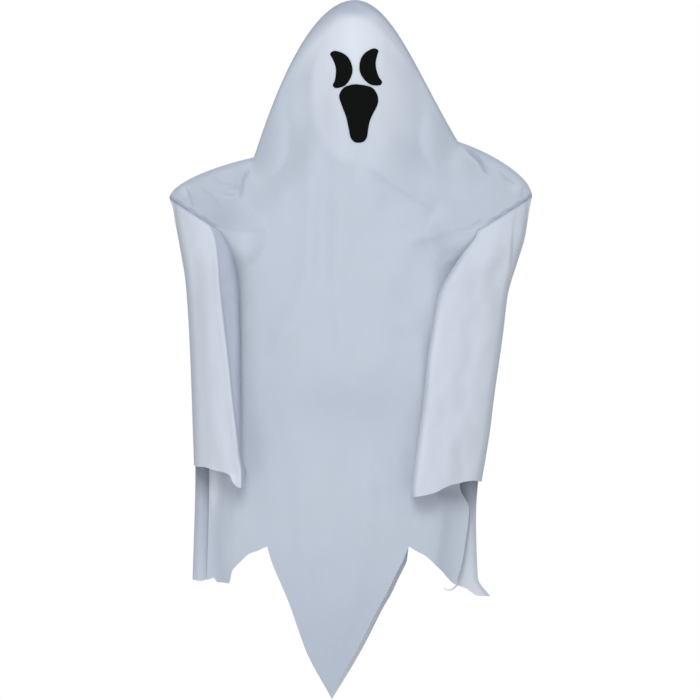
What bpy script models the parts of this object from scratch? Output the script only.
# A hanging cloth ghost: a hooded robe of thin cloth over an egg-shaped head former,
# held out by one bent wire, with two hanging sleeves and a felt face.
# Metres, +Z up, front towards -Y. The origin is the crown, where the ghost hangs.
# In the functions below, "drop" is the distance below the crown and "depth" is the
# distance towards the viewer, so a point is (x, -depth, -drop).

import functools
import math

import bmesh
import bpy
from mathutils import Matrix, Vector

# Whole robe
TOTAL_DROP = 1.500          # crown to the tip of the tail
TAIL_SHIFT = -0.049         # the tail's tip hangs this far to the side of the crown
CLOTH = 0.0015              # thickness of the cloth
GAP = 0.0003                # clearance between pieces that touch

# Head former, an egg
FORMER_WIDTH = 0.184
FORMER_DEPTH = 0.210
FORMER_TOP = 0.162          # its crown to its widest level
FORMER_CHIN = 0.188         # its widest level to its chin
FORMER_CLEARANCE = 0.0015   # between the former and the cloth

# Bent wire
WIRE = 0.004                # diameter
WIRE_LEVEL = 0.318          # drop where the wire runs through the former
WIRE_BACK = -0.020          # depth where it runs through the former
WIRE_SEAT = 0.009           # from the cloth's folds to the middle of the wire
ARM_BACK = 0.065            # how far the upper arms lie behind the crown
HAND_FORWARD = 0.100        # how far the hands reach in front of the crown
ELBOW_ROUND = 0.120         # how far in from the elbow the upper arm's curve begins
HAND_BACK = 0.075           # past the hand, the fold falls back this far

# Robe on the viewer's left, then on the right
LEFT_REACH = 0.398          # crown to the elbow, sideways
LEFT_ELBOW_DROP = 0.424
LEFT_SHOULDER_HALF = 0.217  # half width of the hood where the shoulder leaves it
LEFT_SHOULDER_DROP = 0.337
LEFT_FOREARM = 0.085        # elbow to hand, sideways
LEFT_HAND_DROP = 0.480
LEFT_CORNER_DROP = 1.242    # drop of the robe's outer corner
LEFT_SLEEVE_DROP = 1.012
LEFT_SLEEVE_SEAM = 0.0006   # how far the sleeve stands off the robe at its top
RIGHT_REACH = 0.380
RIGHT_ELBOW_DROP = 0.420
RIGHT_SHOULDER_HALF = 0.221
RIGHT_SHOULDER_DROP = 0.303
RIGHT_FOREARM = 0.112
RIGHT_HAND_DROP = 0.492
RIGHT_CORNER_DROP = 1.281
RIGHT_SLEEVE_DROP = 1.045
RIGHT_SLEEVE_SEAM = -0.0008

# Hem and body
NOTCH_DROP = 1.172          # drop of the two notches beside the tail
CHEST_BELOW_HANDS = 0.014   # the fold over the forearms runs on as a line across the chest
BODY_REACH = 0.200          # the forearms' push on the cloth fades over this length
BODY_BEHIND = 0.020         # and ends this far behind the crown's plane
FOLD_BLEND = 0.012          # how softly two stretches of cloth run into each other
SEAM_ROUND = 0.010          # how soon the cloth turns from its seam
SEAM_LIFT = 0.0065          # and how far it stands off it there
SEAM_FADE = 0.030           # folds fade out over this length beside a seam

# Sleeves
SLEEVE_FULLNESS = 0.033     # how far a sleeve's front stands off its back
SLEEVE_FLARE = 0.018        # and how much further at the hem, so that the front hangs plumb
SLEEVE_LEAN = 0.021         # how far a sleeve may hang back from its top
SLEEVE_ROUND = 0.018        # how soon its flat front turns back at the sides
SLEEVE_CLEARANCE = 0.006    # between a sleeve and the robe behind it, below its seam
SLEEVE_BELOW = 0.005        # the sleeve's top edge lies this far below the forearm's fold
SLEEVE_FEEL = 0.006         # the robe this far round each point of a sleeve keeps it clear

# Felt face
FELT = 0.0020
FELT_CELL = 0.011           # the felt bends in steps of this size
FACE_SHIFT = 0.002          # the face's middle, to the side of the crown
EYE_HEIGHT = 0.079
EYE_WIDTH = 0.048
EYE_SPREAD = 0.0303         # from the face's middle to the middle of an eye
MOUTH_SHIFT = 0.0057        # the mouth's middle, to the side of the face's middle
MOUTH_DROP = 0.1825         # drop of the mouth's top
MOUTH_HEIGHT = 0.1245
MOUTH_WIDTH = 0.082

# Grid of the panels and the sleeves
HALF_COLUMNS = (8, 10)      # crown's middle to the notch's column, and on to the side edge
FRONT_ROWS = (14, 17)       # above and below the chest line
BACK_ROWS = (12, 9)
SLEEVE_ROWS = 12


def clamp(value, low=0.0, high=1.0):
    return max(low, min(high, value))


def ease(value):
    value = clamp(value)
    return value * value * (3 - 2 * value)


def mix(start, end, share):
    return start + (end - start) * share


def smooth_max(first, second, softness):
    return 0.5 * (first + second + math.hypot(first - second, softness))


def along(points, at):
    """A smooth curve through (position, value) points, flat at its own peaks."""
    if at <= points[0][0]:
        return points[0][1]
    if at >= points[-1][0]:
        return points[-1][1]
    slopes = [(b[1] - a[1]) / (b[0] - a[0]) for a, b in zip(points, points[1:])]
    i = next(i for i in range(len(slopes)) if at <= points[i + 1][0])

    def tangent(k):
        if k in (0, len(slopes)):
            return slopes[min(k, len(slopes) - 1)]
        before, after = slopes[k - 1], slopes[k]
        return 0.0 if before * after <= 0 else 2 * before * after / (before + after)

    (x0, y0), (x1, y1) = points[i], points[i + 1]
    width = x1 - x0
    t = (at - x0) / width
    return (
        (1 + 2 * t) * (1 - t) ** 2 * y0
        + t * (1 - t) ** 2 * width * tangent(i)
        + t * t * (3 - 2 * t) * y1
        + t * t * (t - 1) * width * tangent(i + 1)
    )


class Side:
    """The sizes that differ between the two sides, seen from the front."""

    def __init__(self, name, sign, **sizes):
        self.name = name
        self.sign = sign
        self.__dict__.update(sizes)

    def edge(self, drop):
        """Half width of the robe below the elbow."""
        share = (drop - self.elbow_drop) / (self.corner_drop - self.elbow_drop)
        return self.reach * along(self.edge_curve, share)


# Curves are (share of the length, share of the size), so they follow the sizes. A sleeve's
# hem is in shares of the whole drop.
LEFT = Side(
    "left", -1,
    reach=LEFT_REACH,
    elbow_drop=LEFT_ELBOW_DROP,
    shoulder_half=LEFT_SHOULDER_HALF,
    shoulder_drop=LEFT_SHOULDER_DROP,
    hood_flare=0.0,         # how much the hood's outline widens late
    forearm=LEFT_FOREARM,
    hand_drop=LEFT_HAND_DROP,
    corner_drop=LEFT_CORNER_DROP,
    edge_curve=((-0.03, 0.975), (0.0, 1.0), (0.03, 0.975), (0.07, 0.952), (0.22, 0.895),
                (0.40, 0.868), (0.71, 0.861), (1.0, 0.876)),
    hem_curve=((0.0, 1.0), (0.15, 1.10), (0.29, 0.98), (0.36, 1.14), (0.52, 1.15),
               (0.60, 0.66), (0.84, 0.19), (1.0, 0.0)),
    sleeve_seam=LEFT_SLEEVE_SEAM,
    sleeve_drop=LEFT_SLEEVE_DROP,
    sleeve_outer=((0.0, 1.0), (0.034, 0.982), (0.094, 0.967), (0.155, 0.95), (0.32, 0.911),
                  (0.56, 0.889), (1.0, 0.867)),
    sleeve_fold=((0.0, 0.796), (0.095, 0.791), (0.13, 0.769), (0.19, 0.749), (0.34, 0.729),
                 (0.56, 0.691), (0.74, 0.663), (1.0, 0.620)),
    sleeve_inner=((0.0, 0.775), (0.095, 0.770), (0.12, 0.729), (0.15, 0.70), (0.19, 0.668),
                  (0.25, 0.646), (0.34, 0.626), (0.56, 0.618), (1.0, 0.600)),
    sleeve_hem=((0.0, -0.0093), (0.35, -0.0053), (0.62, 0.0027), (0.80, 0.0147), (1.0, 0.0187)),
    eye_drop=0.149,
    eye_tilt=0.0,
)
RIGHT = Side(
    "right", 1,
    reach=RIGHT_REACH,
    elbow_drop=RIGHT_ELBOW_DROP,
    shoulder_half=RIGHT_SHOULDER_HALF,
    shoulder_drop=RIGHT_SHOULDER_DROP,
    hood_flare=0.16,
    forearm=RIGHT_FOREARM,
    hand_drop=RIGHT_HAND_DROP,
    corner_drop=RIGHT_CORNER_DROP,
    edge_curve=((-0.03, 0.975), (0.0, 1.0), (0.03, 0.978), (0.07, 0.950), (0.165, 0.892),
                (0.26, 0.832), (0.42, 0.777), (0.67, 0.705), (0.80, 0.684), (0.95, 0.694),
                (1.0, 0.763)),
    hem_curve=((0.0, 1.0), (0.15, 0.96), (0.44, 0.75), (0.64, 0.40), (0.82, 0.146),
               (1.0, 0.0)),
    sleeve_seam=RIGHT_SLEEVE_SEAM,
    sleeve_drop=RIGHT_SLEEVE_DROP,
    sleeve_outer=((0.0, 1.0), (0.042, 0.985), (0.098, 0.971), (0.152, 0.955), (0.22, 0.921),
                  (0.34, 0.863), (0.47, 0.837), (0.70, 0.784), (0.805, 0.763), (1.0, 0.710)),
    sleeve_fold=((0.0, 0.712), (0.122, 0.707), (0.2, 0.620), (0.266, 0.550), (0.334, 0.496),
                 (0.443, 0.461), (0.554, 0.430), (0.70, 0.405), (0.872, 0.365), (1.0, 0.336)),
    sleeve_inner=((0.0, 0.695), (0.122, 0.690), (0.2, 0.605), (0.266, 0.532), (0.334, 0.474),
                  (0.443, 0.439), (0.554, 0.408), (0.70, 0.384), (0.872, 0.345), (1.0, 0.316)),
    sleeve_hem=((0.0, -0.0087), (0.30, -0.0087), (0.45, -0.004), (0.62, 0.008), (0.85, 0.0147), (1.0, 0.0067)),
    eye_drop=0.143,
    eye_tilt=-0.20,
)
SIDES = (LEFT, RIGHT)
CHEST_DROP = (LEFT_HAND_DROP + RIGHT_HAND_DROP) / 2 + CHEST_BELOW_HANDS
HALVINGS = 30


def side_of(x):
    return LEFT if x < 0 else RIGHT


# Outline of the robe, seen from the front


def hood_half(side, drop):
    """The hood's outline is a parabola that may widen late."""
    share = max(drop, 0.0) / side.shoulder_drop
    return side.shoulder_half * math.sqrt(share) * (1 - side.hood_flare * (1 - share**2))


@functools.lru_cache(maxsize=None)
def hood_drop(side, half):
    low, high = 0.0, side.shoulder_drop
    for _ in range(HALVINGS):
        middle = (low + high) / 2
        low, high = (middle, high) if hood_half(side, middle) < half else (low, middle)
    return high


def top_line(side, half):
    """Drop of the top seam at this half width: hood first, then the arm."""
    if half <= side.shoulder_half:
        return hood_drop(side, half)
    share = clamp((half - side.shoulder_half) / (side.reach - side.shoulder_half))
    fall = 0.45 * share + 0.55 * (1 - math.sqrt(1 - share**2))
    return mix(side.shoulder_drop, side.elbow_drop, fall)


def inward(side, half, drop):
    """Distance in from the elbow, or from the robe's side edge below it."""
    edge = side.edge(drop) if drop > side.elbow_drop else side.reach
    return max(edge - half, 0.0)


def chest_line(side, half):
    """Drop of the fold over the forearm, which runs on as a line across the chest."""
    slope = (side.hand_drop - side.elbow_drop) / side.forearm
    fold = side.elbow_drop + GAP + slope * max(side.reach - half, 0.0)
    return -smooth_max(-fold, -CHEST_DROP, FOLD_BLEND)


def tail_line(side, share):
    """Drop of the hem from its outer corner, at 0, over the notch at a half to the tail's tip."""
    if share < 0.5:
        depth = along(side.hem_curve, 2 * share)
        return NOTCH_DROP + (side.corner_drop - NOTCH_DROP) * depth
    return mix(NOTCH_DROP, TOTAL_DROP, 2 * share - 1)


# Depth of the cloth


def quarter(distance, length):
    share = clamp(distance / length)
    return math.sqrt(1 - (1 - share) ** 2)


def arm_front(side, half, drop):
    """Depth of the forearm's fold."""
    reach_in = inward(side, half, drop)
    forward = HAND_FORWARD * quarter(reach_in, side.forearm)
    return forward - HAND_BACK * ease((reach_in - side.forearm) / BODY_REACH)


def arm_back(side, half, drop=0.0):
    """Depth of the seam along the upper arm, which leaves the hood beside the shoulder."""
    reach_in = inward(side, half, drop)
    leaving = ease((half - 0.68 * side.shoulder_half) / (0.40 * side.shoulder_half))
    return -ARM_BACK * quarter(reach_in, ELBOW_ROUND) * leaving


def shelf_share(side, half, drop):
    top = top_line(side, half)
    return (drop - top) / max(chest_line(side, half) - top, GAP)


def seam_depth(side, half, drop):
    return arm_back(side, half, drop) * (1 - ease(shelf_share(side, half, drop)))


def cone_half(side, drop):
    """Half width of the hood's cone, which runs on in front of the arm."""
    if drop <= side.shoulder_drop:
        return max(hood_half(side, drop), CLOTH)
    share = (drop - side.shoulder_drop) / (CHEST_DROP - side.shoulder_drop)
    if share < 0.5:
        return side.shoulder_half * mix(1.0, 1.13, ease(2 * share))
    wide = side.edge(max(drop, side.elbow_drop))
    return mix(1.13 * side.shoulder_half, wide, ease((share - 0.5) / 0.9))


def cone_seam(side, drop):
    half = cone_half(side, drop)
    if drop <= side.shoulder_drop:
        return arm_back(side, half)
    share = (drop - side.shoulder_drop) / (CHEST_DROP - side.shoulder_drop)
    return arm_back(side, side.shoulder_half) * (1 - ease(share))


def lobe(side, drop, cover_depth, deep_curve):
    """Half width and depth of the round middle of the cloth at this drop."""
    cover = CLOTH + FORMER_CLEARANCE
    top = FORMER_TOP + cover
    rise = quarter(drop, top)
    half = (FORMER_WIDTH / 2 + cover) * rise
    depth = (cover_depth + cover) * rise
    if drop > top:
        below = (drop - top) / (TOTAL_DROP - top)
        half = mix(half, 0.90 * side.edge(max(drop, side.elbow_drop)),
                   ease((below - 0.05) / 0.33))
        depth *= along(deep_curve, below)
    return half, depth


FRONT_DEEP = ((0.0, 1.0), (0.07, 0.985), (0.11, 0.93), (0.16, 0.84), (0.22, 0.82),
              (0.32, 0.80), (0.55, 0.70), (0.80, 0.57), (1.0, 0.44))
BACK_DEEP = ((0.0, 1.0), (0.06, 0.97), (0.14, 0.86), (0.22, 0.80), (0.32, 0.78),
             (0.55, 0.68), (0.80, 0.55), (1.0, 0.40))


def hull(half, wide, seam, lobe_half, lobe_depth):
    """Cloth pulled from a round middle straight to a seam at each side."""
    across, behind = wide / lobe_half, seam / lobe_depth
    distance = max(math.hypot(across, behind), 1.0001)
    angle = math.atan2(behind, across) + math.acos(1 / distance)
    touch = lobe_half * math.cos(angle)
    if half <= touch:
        return lobe_depth * math.sqrt(max(1 - (half / lobe_half) ** 2, 0.0))
    touch_depth = lobe_depth * math.sin(angle)
    return touch_depth + (seam - touch_depth) * (half - touch) / max(wide - touch, GAP)


# Folds: a path of (x, drop) points, how wide the fold is and how high it stands, all as
# shares of the whole drop.
FRONT_FOLDS = (
    (((-0.067, 0.127), (-0.064, 0.28), (-0.069, 0.4), (-0.09, 0.467), (-0.137, 0.507)),
     0.0147, 0.004),
    (((-0.04, 0.133), (-0.043, 0.32), (-0.053, 0.427)), 0.012, -0.0027),
    (((-0.02, 0.247), (-0.024, 0.413), (-0.02, 0.573)), 0.0133, 0.003),
    (((0.013, 0.233), (0.063, 0.267), (0.121, 0.301)), 0.012, 0.004),
    (((0.027, 0.28), (0.08, 0.313), (0.133, 0.333)), 0.0147, -0.004),
    (((0.073, 0.347), (0.127, 0.328), (0.175, 0.319)), 0.012, 0.004),
    (((0.107, 0.363), (0.133, 0.373)), 0.016, -0.0047),
    (((-0.157, 0.303), (-0.133, 0.347), (-0.127, 0.4)), 0.0173, -0.0047),
    (((0.04, 0.373), (0.05, 0.467), (0.027, 0.553)), 0.0267, 0.0047),
    (((-0.1, 0.573), (0.0, 0.6), (0.067, 0.587)), 0.0267, -0.0053),
    (((-0.08, 0.667), (-0.073, 0.767), (-0.06, 0.9)), 0.016, 0.0033),
    (((0.02, 0.653), (0.013, 0.767), (-0.02, 0.933)), 0.016, 0.0033),
    (((-0.19, 0.667), (-0.193, 0.747), (-0.19, 0.83)), 0.0107, 0.0067),
    (((-0.212, 0.667), (-0.215, 0.747), (-0.212, 0.83)), 0.0093, -0.004),
    (((0.155, 0.687), (0.163, 0.747), (0.148, 0.833)), 0.0087, 0.008),
    (((0.133, 0.707), (0.137, 0.76), (0.123, 0.82)), 0.0107, -0.0047),
)
BACK_FOLDS = (
    (((-0.1, 0.253), (-0.113, 0.467), (-0.133, 0.767)), 0.02, 0.0053),
    (((-0.04, 0.28), (-0.053, 0.533), (-0.067, 0.833)), 0.0187, -0.004),
    (((0.013, 0.267), (0.007, 0.533), (-0.02, 0.933)), 0.02, 0.0053),
    (((0.073, 0.267), (0.073, 0.5), (0.06, 0.787)), 0.0187, -0.004),
    (((0.127, 0.28), (0.127, 0.5), (0.12, 0.787)), 0.0187, 0.0053),
    (((-0.193, 0.307), (-0.187, 0.533), (-0.2, 0.8)), 0.016, -0.0033),
)


def path_distance(path, x, drop):
    """Distance from a path, and the share of the path's length beside the point."""
    best, share = 1e9, 0.0
    steps = len(path) - 1
    for i in range(steps):
        (x0, d0), (x1, d1) = path[i], path[i + 1]
        run_x, run_d = x1 - x0, d1 - d0
        t = clamp(((x - x0) * run_x + (drop - d0) * run_d) / (run_x**2 + run_d**2))
        distance = math.hypot(x - x0 - run_x * t, drop - d0 - run_d * t)
        if distance < best:
            best, share = distance, (i + t) / steps
    return best, share


def folds(list_of_folds, x, drop):
    total = 0.0
    for path, width, height in list_of_folds:
        distance, share = path_distance(path, x / TOTAL_DROP, drop / TOTAL_DROP)
        if distance < 3 * width:
            ends = min(ease(4 * share + 0.15), ease(4 * (1 - share) + 0.15))
            total += height * math.exp(-((distance / width) ** 2)) * ends
    return TOTAL_DROP * total


def seam_distance(side, half, drop):
    below = max(drop - top_line(side, min(half, side.reach)), 0.0)
    if drop < side.elbow_drop:
        return below
    return min(below, max(side.edge(drop) - half, 0.0))


def cloth_depth(x, drop, back=False):
    """How far the outer face of a panel lies from the plane through the crown."""
    side = side_of(x)
    half = abs(x)
    facing = -1 if back else 1
    seam = seam_depth(side, half, drop)
    deep = BACK_DEEP if back else FRONT_DEEP
    lobe_half, lobe_depth = lobe(side, drop, FORMER_DEPTH / 2, deep)
    wide = cone_half(side, drop)
    lobe_half = min(lobe_half, 0.97 * wide)
    main = hull(half, wide, facing * cone_seam(side, drop), max(lobe_half, GAP),
                max(lobe_depth, GAP))
    share = shelf_share(side, half, drop)
    under = (drop - chest_line(side, half)) / BODY_REACH
    if back:
        arm = -arm_back(side, half, drop) * (1 - ease(0.5 * under)) - BODY_BEHIND * ease(under)
    elif share < 1:
        start = arm_back(side, half, drop)
        arm = start + (arm_front(side, half, drop) - start) * max(share, 0.0) ** 1.2
    else:
        arm = mix(arm_front(side, half, drop), -BODY_BEHIND, ease(under))
    distance = seam_distance(side, half, drop)
    inside = ease(distance / SEAM_FADE)
    bulge = smooth_max(main, arm, FOLD_BLEND * inside) - facing * seam
    bulge = max(bulge, 0.0) + SEAM_LIFT * math.sqrt(clamp(distance / SEAM_ROUND))
    bulge += folds(BACK_FOLDS if back else FRONT_FOLDS, x, drop) * inside
    return seam + facing * (max(bulge, 0.0) + CLOTH + GAP)


def crowded(share):
    """Rows lie close together at the crown, where the cloth turns fastest, then evenly."""
    return (share**2 if share < 0.5 else share - 0.25) / 0.75


def column_places():
    """Shares of the way from the middle to a side edge, closer together towards the edge."""
    inner, outer = HALF_COLUMNS
    places = [0.5 * i / inner for i in range(inner + 1)]
    for i in range(1, outer + 1):
        share = i / outer
        places.append(0.5 + 0.5 * mix(share, 1 - (1 - share) ** 2, 0.5))
    return places


def panel_point(side, outward, row, rows, back):
    """A point of a panel: outward is 0 in the middle, rows run from the top seam to the hem."""

    def half_at(drop):
        middle = TAIL_SHIFT * (clamp(drop / TOTAL_DROP)) ** 2
        edge = side.edge(max(drop, side.elbow_drop - 0.03 * (side.corner_drop - side.elbow_drop)))
        return side.sign * mix(side.sign * middle, edge, outward)

    top = 0.0
    for _ in range(12):
        x = half_at(top)
        top = top_line(side_of(x), abs(x))
    x = half_at(CHEST_DROP)
    chest = chest_line(side, min(outward * side.reach, side.reach))
    if row <= rows[0]:
        share = mix(crowded(row / rows[0]), row / rows[0], ease(2 * outward))
        drop = mix(top, chest, share)
    else:
        share = (row - rows[0]) / rows[1]
        drop = mix(chest, tail_line(side, 1 - outward), mix(share, share**1.6, ease(outward)))
    x = half_at(drop)
    return Vector((x, -cloth_depth(x, drop, back), -drop))


def material(name, colour, roughness, metallic=0.0):
    made = bpy.data.materials.new(name)
    made.use_nodes = True
    shader = made.node_tree.nodes["Principled BSDF"]
    shader.inputs["Base Color"].default_value = (*colour, 1)
    shader.inputs["Roughness"].default_value = roughness
    shader.inputs["Metallic"].default_value = metallic
    made.diffuse_color = (*colour, 1)
    return made


def new_object(name, mesh, collection, surface):
    obj = bpy.data.objects.new(name, mesh)
    obj.data.materials.append(surface)
    collection.objects.link(obj)
    return obj


def grid_mesh(name, points):
    """A mesh of quads through rows of points."""
    shape = bmesh.new()
    rows = [[shape.verts.new(point) for point in row] for row in points]
    for upper, lower in zip(rows, rows[1:]):
        for i in range(len(upper) - 1):
            shape.faces.new((upper[i], lower[i], lower[i + 1], upper[i + 1]))
    mesh = bpy.data.meshes.new(name)
    shape.to_mesh(mesh)
    shape.free()
    mesh.shade_smooth()
    return mesh


def give_thickness(obj, thickness, offset):
    solid = obj.modifiers.new("Cloth thickness", "SOLIDIFY")
    solid.thickness = thickness
    solid.offset = offset


def build_panel(name, back, rows, collection, surface):
    places = column_places()
    points = []
    for row in range(sum(rows) + 1):
        left = [panel_point(LEFT, outward, row, rows, back) for outward in places[:0:-1]]
        right = [panel_point(RIGHT, outward, row, rows, back) for outward in places]
        points.append((left + right)[::-1] if back else left + right)
    panel = new_object(name, grid_mesh(name, points), collection, surface)
    give_thickness(panel, CLOTH, -1)


# Sleeves: each is a flat tube, closed at the top along the forearm's fold.

FRONT_STEPS, TURN_STEPS = 8, 2   # across the front, and round the inner side


def robe_under(x, drop):
    """The foremost depth of the robe round a point, so that coarse faces stay clear of it."""
    steps = (-SLEEVE_FEEL, 0.0, SLEEVE_FEEL)
    return max(cloth_depth(x + across, drop + down) for across in steps for down in steps)


def sleeve_lines(side, drop):
    """How far out the sleeve's outer edge, its fold and its inner edge lie."""
    level = (drop - side.elbow_drop) / (side.sleeve_drop - side.elbow_drop)
    lines = (side.sleeve_outer, side.sleeve_fold, side.sleeve_inner)
    return [side.reach * along(line, level) for line in lines]


def sleeve_ring(side, share):
    """The points round a sleeve, front first, at this share of the way to the hem."""
    steps = FRONT_STEPS + TURN_STEPS
    front, behind = [], []
    for i in range(steps + 1):
        across = i / steps
        turn = clamp((i - FRONT_STEPS) / TURN_STEPS)

        def half_at(drop):
            outer, fold, inner = sleeve_lines(side, drop)
            if turn > 0:
                return mix(fold, inner, turn)
            return mix(outer, fold, mix(i / FRONT_STEPS, (i / FRONT_STEPS) ** 2, 0.7))

        top = side.hand_drop
        for _ in range(6):
            top_half = half_at(top)
            top = chest_line(side, min(top_half, side.reach)) + SLEEVE_BELOW
        drop = mix(top, side.sleeve_drop + TOTAL_DROP * along(side.sleeve_hem, across), share)
        half = half_at(drop)
        hang = ease(4 * share)
        clear = mix(side.sleeve_seam, SLEEVE_CLEARANCE, clamp(30 * share))
        robe = robe_under(side.sign * half, drop) + clear
        held = robe_under(side.sign * top_half, top) + clear
        back_depth = max(robe, held - SLEEVE_LEAN * share)
        outer, _, inner = sleeve_lines(side, drop)
        belly = min(quarter(outer - half, SLEEVE_ROUND), quarter(half - inner, SLEEVE_ROUND))
        full = (mix(4 * CLOTH, SLEEVE_FULLNESS, hang) + SLEEVE_FLARE * share) * belly
        front.append(Vector((side.sign * half, -(back_depth + full), -drop)))
        behind.append(Vector((side.sign * half, -back_depth, -drop)))
    return front + behind[-2:0:-1]


def build_sleeve(side, collection, surface):
    name = "sleeve_" + side.name
    rings = [sleeve_ring(side, (row / SLEEVE_ROWS) ** 1.3) for row in range(SLEEVE_ROWS + 1)]
    shape = bmesh.new()
    rows = [[shape.verts.new(point) for point in ring] for ring in rings]
    count = len(rows[0])
    for upper, lower in zip(rows, rows[1:]):
        for i in range(count):
            j = (i + 1) % count
            shape.faces.new((upper[i], lower[i], lower[j], upper[j]))
    top = rows[0]
    last = count // 2
    shape.faces.new((top[0], top[1], top[-1]))
    for i in range(1, last - 1):
        shape.faces.new((top[i], top[i + 1], top[count - i - 1], top[count - i]))
    shape.faces.new((top[last - 1], top[last], top[last + 1]))
    bmesh.ops.recalc_face_normals(shape, faces=shape.faces)
    mesh = bpy.data.meshes.new(name)
    shape.to_mesh(mesh)
    shape.free()
    mesh.shade_smooth()
    sleeve = new_object(name, mesh, collection, surface)
    give_thickness(sleeve, CLOTH, -1)


# Head former and wire

WIRE_STEPS = 6              # points along each quarter of the wire's bend at the elbow


def wire_middle(side):
    """The wire's points on one side, from the former out to the elbow and on to the hand."""
    points = []
    leave = side.shoulder_half + WIRE_SEAT
    inside = 0.36 * FORMER_WIDTH
    for half in (inside, mix(inside, leave, 0.45), leave):
        away = ease((half - inside) / (leave - inside))
        level = mix(WIRE_LEVEL, top_line(side, leave) + WIRE_SEAT, away)
        points.append((half, min(WIRE_BACK, arm_back(side, half)), level))
    for i in range(WIRE_STEPS + 1):
        angle = math.pi / 2 * (1 - i / WIRE_STEPS)
        half = side.reach - mix(WIRE_SEAT, ELBOW_ROUND, 1 - math.cos(angle))
        if half > leave + WIRE_SEAT:
            level = mix(side.elbow_drop, top_line(side, half) + WIRE_SEAT,
                        ease(3 * angle / math.pi))
            points.append((half, -ARM_BACK * math.sin(angle), level))
    for i in range(1, WIRE_STEPS + 1):
        angle = math.pi / 2 * i / WIRE_STEPS
        in_from_edge = mix(WIRE_SEAT, side.forearm, 1 - math.cos(angle))
        fold = chest_line(side, side.reach - in_from_edge) + 0.8 * WIRE_SEAT
        level = mix(side.elbow_drop, fold, ease(6 * angle / math.pi))
        half = side.edge(level) - in_from_edge
        points.append((half, (HAND_FORWARD - WIRE_SEAT) * math.sin(angle), level))
    return [Vector((side.sign * half, -depth, -level)) for half, depth, level in points]


def build_wire(collection, surface):
    points = wire_middle(LEFT)[::-1] + wire_middle(RIGHT)
    curve = bpy.data.curves.new("arm_wire", "CURVE")
    curve.dimensions = "3D"
    curve.bevel_depth = WIRE / 2
    curve.bevel_resolution = 1
    curve.use_fill_caps = True
    line = curve.splines.new("POLY")
    line.points.add(len(points) - 1)
    for target, point in zip(line.points, points):
        target.co = (*point, 1)
    new_object("arm_wire", curve, collection, surface)


def build_former(collection, cutters, surface):
    shape = bmesh.new()
    bmesh.ops.create_uvsphere(shape, u_segments=18, v_segments=11, radius=1)
    for vertex in shape.verts:
        vertex.co.x *= FORMER_WIDTH / 2
        vertex.co.y *= FORMER_DEPTH / 2
        vertex.co.z *= FORMER_TOP if vertex.co.z > 0 else FORMER_CHIN
        vertex.co.z -= FORMER_TOP + CLOTH + FORMER_CLEARANCE
    mesh = bpy.data.meshes.new("head_former")
    shape.to_mesh(mesh)
    shape.free()
    mesh.shade_smooth()
    former = new_object("head_former", mesh, collection, surface)

    shape = bmesh.new()
    lie_along_x = Matrix.Rotation(math.pi / 2, 4, "Y")
    radius = WIRE / 2 + GAP
    bmesh.ops.create_cone(shape, cap_ends=True, segments=10, radius1=radius, radius2=radius,
                          depth=FORMER_WIDTH, matrix=lie_along_x)
    bore_mesh = bpy.data.meshes.new("wire_bore")
    shape.to_mesh(bore_mesh)
    shape.free()
    bore = bpy.data.objects.new("wire_bore", bore_mesh)
    bore.location = (0, -WIRE_BACK, -WIRE_LEVEL)
    bore.hide_render = True
    bore.display_type = "WIRE"
    cutters.objects.link(bore)
    cut = former.modifiers.new("Bore for the wire", "BOOLEAN")
    cut.object = bore
    cut.operation = "DIFFERENCE"
    cut.solver = "EXACT"


# Felt face: outlines as shares of the piece's width and height, top first.

EYE_OUTLINE = (
    (-0.40, -0.49), (-0.21, -0.50), (0.12, -0.42), (0.36, -0.26), (0.48, 0.00), (0.39, 0.23),
    (0.14, 0.43), (-0.24, 0.50), (-0.38, 0.42), (-0.29, 0.28), (-0.245, 0.04), (-0.29, -0.14),
    (-0.42, -0.32), (-0.50, -0.42),
)
MOUTH_OUTLINE = (
    (-0.04, 0.00), (-0.26, 0.02), (-0.41, 0.075), (-0.50, 0.20), (-0.43, 0.37), (-0.32, 0.57),
    (-0.25, 0.79), (-0.21, 0.91), (-0.12, 0.985), (0.00, 1.00), (0.13, 0.98), (0.215, 0.90),
    (0.25, 0.74), (0.31, 0.585), (0.47, 0.37), (0.50, 0.26), (0.455, 0.146), (0.31, 0.045),
)
OUTLINE_STEPS = 2           # points for each stretch between two outline points


def round_outline(points):
    """A closed smooth curve through the points."""
    count = len(points)
    found = []
    for i in range(count):
        before, start, end, after = (Vector(points[(i + k) % count]) for k in (-1, 0, 1, 2))
        for step in range(OUTLINE_STEPS):
            t = step / OUTLINE_STEPS
            found.append(
                0.5 * (2 * start + (end - before) * t
                       + (2 * before - 5 * start + 4 * end - after) * t**2
                       + (3 * start - before - 3 * end + after) * t**3)
            )
    return found


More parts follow.
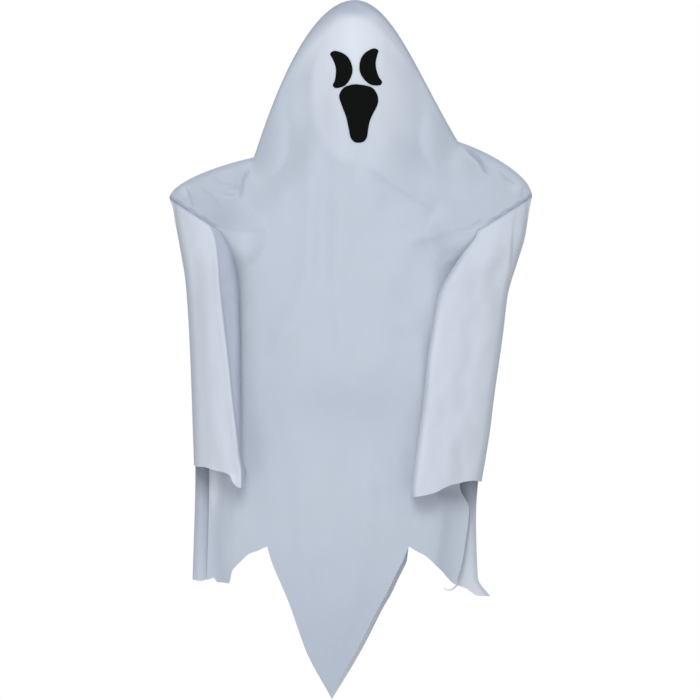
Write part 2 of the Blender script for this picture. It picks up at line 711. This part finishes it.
def build_felt(name, outline, collection, surface):
    """A felt piece that lies on the hood. The outline is (x, drop) points."""
    shape = bmesh.new()
    corners = [shape.verts.new((x, 0, -drop)) for x, drop in outline]
    face = shape.faces.new(corners)
    face.normal_update()
    if face.normal.y > 0:
        face.normal_flip()
    for axis in (0, 2):
        places = [vertex.co[axis] for vertex in shape.verts]
        first = math.ceil(min(places) / FELT_CELL)
        for k in range(first, math.floor(max(places) / FELT_CELL) + 1):
            at, normal = Vector((0, 0, 0)), Vector((0, 0, 0))
            at[axis], normal[axis] = k * FELT_CELL, 1
            bmesh.ops.bisect_plane(
                shape, geom=shape.verts[:] + shape.edges[:] + shape.faces[:],
                dist=FELT_CELL / 1000, plane_co=at, plane_no=normal,
            )
    for vertex in shape.verts:
        vertex.co.y = -(cloth_depth(vertex.co.x, -vertex.co.z) + 2 * GAP)
    mesh = bpy.data.meshes.new(name)
    shape.to_mesh(mesh)
    shape.free()
    felt = new_object(name, mesh, collection, surface)
    give_thickness(felt, FELT, 1)


def build_face(collection, surface):
    for side in SIDES:
        turn = Matrix.Rotation(side.sign * side.eye_tilt, 2)
        outline = []
        for x, drop in round_outline(EYE_OUTLINE):
            turned = turn @ Vector((-side.sign * x * EYE_WIDTH, drop * EYE_HEIGHT))
            outline.append((FACE_SHIFT + side.sign * EYE_SPREAD + turned.x,
                            side.eye_drop + turned.y))
        build_felt("eye_" + side.name, outline, collection, surface)
    mouth = [
        (FACE_SHIFT + MOUTH_SHIFT + x * MOUTH_WIDTH, MOUTH_DROP + drop * MOUTH_HEIGHT)
        for x, drop in round_outline(MOUTH_OUTLINE)
    ]
    build_felt("mouth", mouth, collection, surface)


def main():
    for obj in list(bpy.data.objects):
        bpy.data.objects.remove(obj)
    ghost = bpy.data.collections.new("Hanging ghost")
    cutters = bpy.data.collections.new("Cutters")
    for collection in (ghost, cutters):
        bpy.context.scene.collection.children.link(collection)

    robe_cloth = material("Robe cloth", (0.56, 0.61, 0.69), 0.85)
    black_felt = material("Black felt", (0.006, 0.007, 0.007), 0.95)
    white_foam = material("White foam", (0.80, 0.81, 0.83), 0.70)
    bare_wire = material("Galvanised wire", (0.45, 0.46, 0.48), 0.40, 1.0)

    build_panel("robe_front", False, FRONT_ROWS, ghost, robe_cloth)
    build_panel("robe_back", True, BACK_ROWS, ghost, robe_cloth)
    for side in SIDES:
        build_sleeve(side, ghost, robe_cloth)
    build_former(ghost, cutters, white_foam)
    build_wire(ghost, bare_wire)
    build_face(ghost, black_felt)


main()
